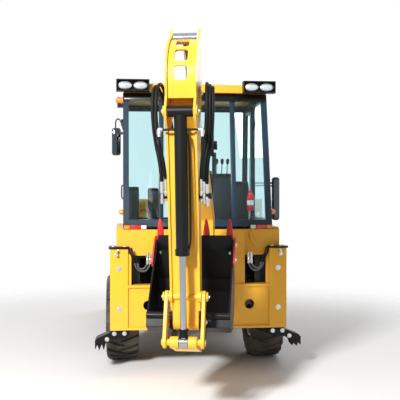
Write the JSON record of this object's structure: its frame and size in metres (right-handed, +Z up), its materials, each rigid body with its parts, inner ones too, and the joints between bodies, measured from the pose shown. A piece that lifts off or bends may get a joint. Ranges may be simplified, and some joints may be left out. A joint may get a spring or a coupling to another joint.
{
  "type": "backhoe loader",
  "caption": "Wheeled loader tractor with a front bucket on lift arms, a glazed cab, side-sliding stabiliser legs and a folded rear digging arm with a toothed bucket.",
  "frame": {"origin": "centre of the bounding box's underside, on the ground between the wheels", "axes": "+Y is the machine's front, +X its right-hand side and +Z up; the hoe is at -Y"},
  "size_m": [2.126, 6.2836, 3.0842],
  "materials": {
    "black_paint": "satin",
    "black_plastic": "matte",
    "cab_grey": "satin",
    "cast_black": "satin",
    "chrome_rod": "polished",
    "clear_glass": "polished",
    "engine_grey": "satin",
    "lamp_plastic": "gloss",
    "red_paint": "satin",
    "rim_paint": "satin",
    "seat_fabric": "matte",
    "tyre_rubber": "matte",
    "yellow_paint": "gloss"
  },
  "bodies": {
    "machine": {"main_frame": "yellow_paint", "rear_frame": "yellow_paint", "swing_brackets": "yellow_paint", "rear_axle": "cast_black", "front_axle": "cast_black", "engine_block": "engine_grey", "exhaust": "black_paint", "tanks": "black_paint", "steps": "black_paint", "rear_fenders": "yellow_paint", "cab_floor": "cast_black", "cab_frame": "cab_grey", "cab_windows": "clear_glass", "cab_roof": "yellow_paint", "work_lamps": "black_plastic", "tail_lamps": "lamp_plastic", "mirrors": "black_plastic", "seat": "black_plastic", "seat_cushions": "seat_fabric", "controls": "black_plastic"},
    "hood": {"hood": "yellow_paint", "grille": "black_paint"},
    "door_left": {"door_left": "cab_grey", "door_glass_left": "clear_glass"},
    "door_right": {"door_right": "cab_grey", "door_glass_right": "clear_glass"},
    "wheel_rear_left": {"tyre_rear_left": "tyre_rubber", "rim_rear_left": "rim_paint"},
    "wheel_rear_right": {"tyre_rear_right": "tyre_rubber", "rim_rear_right": "rim_paint"},
    "wheel_front_left": {"tyre_front_left": "tyre_rubber", "rim_front_left": "rim_paint"},
    "wheel_front_right": {"tyre_front_right": "tyre_rubber", "rim_front_right": "rim_paint"},
    "hoe_bucket": {"hoe_bucket": "black_paint", "bucket_teeth": "red_paint"},
    "knuckle_left": {"knuckle_left": "cast_black"},
    "knuckle_right": {"knuckle_right": "cast_black"},
    "leg_left": {"leg_left": "black_paint"},
    "leg_right": {"leg_right": "black_paint"},
    "loader_arms": {"loader_arms": "yellow_paint"},
    "lift_barrels": {"lift_barrels": "black_paint"},
    "lift_rods": {"lift_rods": "chrome_rod"},
    "tilt_barrels": {"tilt_barrels": "black_paint"},
    "tilt_rods": {"tilt_rods": "chrome_rod"},
    "loader_bucket": {"loader_bucket": "yellow_paint"},
    "swing_post": {"swing_post": "yellow_paint"},
    "boom": {"boom": "yellow_paint"},
    "boom_barrel": {"boom_barrel": "black_paint"},
    "boom_rod": {"boom_rod": "chrome_rod"},
    "dipper": {"dipper": "yellow_paint"},
    "crowd_barrel": {"crowd_barrel": "black_paint"},
    "crowd_rod": {"crowd_rod": "chrome_rod"},
    "guide_levers": {"guide_levers": "yellow_paint"},
    "tipping_link": {"tipping_link": "yellow_paint"},
    "bucket_barrel": {"bucket_barrel": "black_paint"},
    "bucket_rod": {"bucket_rod": "chrome_rod"}
  },
  "joints": [
    {"name": "rear_left_wheel_spin", "type": "hinge", "parent": "machine", "child": "wheel_rear_left", "pos_m": [-0.778, -0.352, 0.46], "axis": [1, 0, 0], "continuous": true},
    {"name": "rear_right_wheel_spin", "type": "hinge", "parent": "machine", "child": "wheel_rear_right", "pos_m": [0.778, -0.352, 0.46], "axis": [1, 0, 0], "continuous": true},
    {"name": "steer_left", "type": "hinge", "parent": "machine", "child": "knuckle_left", "pos_m": [-0.56, 1.798, 0.46], "axis": [0, 0, 1], "range_deg": [-30, 30]},
    {"name": "front_left_wheel_spin", "type": "hinge", "parent": "knuckle_left", "child": "wheel_front_left", "pos_m": [-0.778, 1.798, 0.46], "axis": [1, 0, 0], "continuous": true},
    {"name": "steer_right", "type": "hinge", "parent": "machine", "child": "knuckle_right", "pos_m": [0.56, 1.798, 0.46], "axis": [0, 0, 1], "range_deg": [-30, 30]},
    {"name": "front_right_wheel_spin", "type": "hinge", "parent": "knuckle_right", "child": "wheel_front_right", "pos_m": [0.778, 1.798, 0.46], "axis": [1, 0, 0], "continuous": true},
    {"name": "door_left_swing", "type": "hinge", "parent": "machine", "child": "door_left", "pos_m": [-0.784, 0.101, 1.9], "axis": [0, 0, 1], "range_deg": [0, 75]},
    {"name": "door_right_swing", "type": "hinge", "parent": "machine", "child": "door_right", "pos_m": [0.784, 0.101, 1.9], "axis": [0, 0, -1], "range_deg": [0, 75]},
    {"name": "hood_lift", "type": "hinge", "parent": "machine", "child": "hood", "pos_m": [0, 0.668, 1.459], "axis": [1, 0, 0], "range_deg": [0, 50]},
    {"name": "leg_left_slide", "type": "slide", "parent": "machine", "child": "leg_left", "axis": [0, 0, 1], "range_m": [-0.45, 0]},
    {"name": "leg_right_slide", "type": "slide", "parent": "machine", "child": "leg_right", "axis": [0, 0, 1], "range_m": [-0.45, 0]},
    {"name": "loader_lift", "type": "hinge", "parent": "machine", "child": "loader_arms", "pos_m": [0, 1.163, 1.665], "axis": [1, 0, 0], "range_deg": [-4, 60]},
    {"name": "lift_barrel_swing", "type": "hinge", "parent": "machine", "child": "lift_barrels", "pos_m": [0, 1.153, 0.905], "axis": [1, 0, 0], "range_deg": [-2.93, 36.88]},
    {"name": "lift_rod_slide", "type": "slide", "parent": "lift_barrels", "child": "lift_rods", "axis": [0, 0.9292, 0.3695], "range_m": [-0.04129, 0.5913]},
    {"name": "loader_bucket_tilt", "type": "hinge", "parent": "loader_arms", "child": "loader_bucket", "pos_m": [0, 2.698, 0.3], "axis": [1, 0, 0], "range_deg": [-50, 25]},
    {"name": "tilt_barrel_swing", "type": "hinge", "parent": "loader_arms", "child": "tilt_barrels", "pos_m": [0, 1.903, 1.49], "axis": [1, 0, 0], "range_deg": [-3.32, 6.14]},
    {"name": "tilt_rod_slide", "type": "slide", "parent": "tilt_barrels", "child": "tilt_rods", "axis": [0, 0.645, -0.7642], "range_m": [-0.09176, 0.18151]},
    {"name": "hoe_swing", "type": "hinge", "parent": "machine", "child": "swing_post", "pos_m": [0, -1.472, 0.745], "axis": [0, 0, 1], "range_deg": [-77.5, 102.5]},
    {"name": "boom_lower", "type": "hinge", "parent": "swing_post", "child": "boom", "pos_m": [-0.04329, -1.66726, 0.655], "axis": [0.9763, -0.2164, 0], "range_deg": [0, 105]},
    {"name": "boom_barrel_swing", "type": "hinge", "parent": "swing_post", "child": "boom_barrel", "pos_m": [-0.02381, -1.57939, 0.855], "axis": [-0.9763, 0.2164, 0], "range_deg": [-110.39, 0.5]},
    {"name": "boom_rod_slide", "type": "slide", "parent": "boom_barrel", "child": "boom_rod", "axis": [-0.0019, -0.0087, 1], "range_m": [-0.002, 0.34468]},
    {"name": "dipper_open", "type": "hinge", "parent": "boom", "child": "dipper", "pos_m": [-0.30717, -2.85755, 2.57548], "axis": [-0.9763, 0.2164, 0], "range_deg": [0, 90]},
    {"name": "crowd_barrel_swing", "type": "hinge", "parent": "boom", "child": "crowd_barrel", "pos_m": [-0.02164, -1.56963, 1.595], "axis": [-0.9763, 0.2164, 0], "range_deg": [-0.5, 1.63]},
    {"name": "crowd_rod_slide", "type": "slide", "parent": "crowd_barrel", "child": "crowd_rod", "axis": [-0.1409, -0.6356, 0.7591], "range_m": [-0.66056, 0.002]},
    {"name": "hoe_bucket_open", "type": "hinge", "parent": "dipper", "child": "hoe_bucket", "pos_m": [-0.27596, -2.71678, 0.805], "axis": [-0.9763, 0.2164, 0], "range_deg": [0, 160]},
    {"name": "lever_swing", "type": "hinge", "parent": "dipper", "child": "guide_levers", "pos_m": [-0.29004, -2.78031, 1.0121], "axis": [-0.9763, 0.2164, 0], "range_deg": [-0.5, 113.39]},
    {"name": "link_swing", "type": "hinge", "parent": "guide_levers", "child": "tipping_link", "pos_m": [-0.31412, -2.88891, 0.67715], "axis": [-0.9763, 0.2164, 0], "range_deg": [-47.99, 0.5]},
    {"name": "bucket_barrel_swing", "type": "hinge", "parent": "dipper", "child": "bucket_barrel", "pos_m": [-0.35308, -3.06466, 2.41933], "axis": [-0.9763, 0.2164, 0], "range_deg": [-0.5, 9.75]},
    {"name": "bucket_rod_slide", "type": "slide", "parent": "bucket_barrel", "child": "bucket_rod", "axis": [0.0222, 0.1003, -0.9947], "range_m": [-0.55101, 0.002]}
  ],
  "couplings": [
    {"joint": "steer_right", "follows": "steer_left", "ratio": 1},
    {"joint": "lift_barrel_swing", "follows": "loader_lift", "ratio": 0.60641},
    {"joint": "lift_rod_slide", "follows": "loader_lift", "m_per_rad": 0.56274},
    {"joint": "tilt_barrel_swing", "follows": "loader_bucket_tilt", "ratio": -0.11286},
    {"joint": "tilt_rod_slide", "follows": "loader_bucket_tilt", "m_per_rad": -0.2057},
    {"joint": "boom_barrel_swing", "follows": "boom_lower", "ratio": -1.0465},
    {"joint": "boom_rod_slide", "follows": "boom_lower", "m_per_rad": 0.18699},
    {"joint": "crowd_barrel_swing", "follows": "dipper_open", "ratio": 0.012571},
    {"joint": "crowd_rod_slide", "follows": "dipper_open", "m_per_rad": -0.41925},
    {"joint": "lever_swing", "follows": "hoe_bucket_open", "ratio": 0.70553},
    {"joint": "link_swing", "follows": "hoe_bucket_open", "ratio": -0.2968},
    {"joint": "bucket_barrel_swing", "follows": "hoe_bucket_open", "ratio": 0.057832},
    {"joint": "bucket_rod_slide", "follows": "hoe_bucket_open", "m_per_rad": -0.1966}
  ]
}
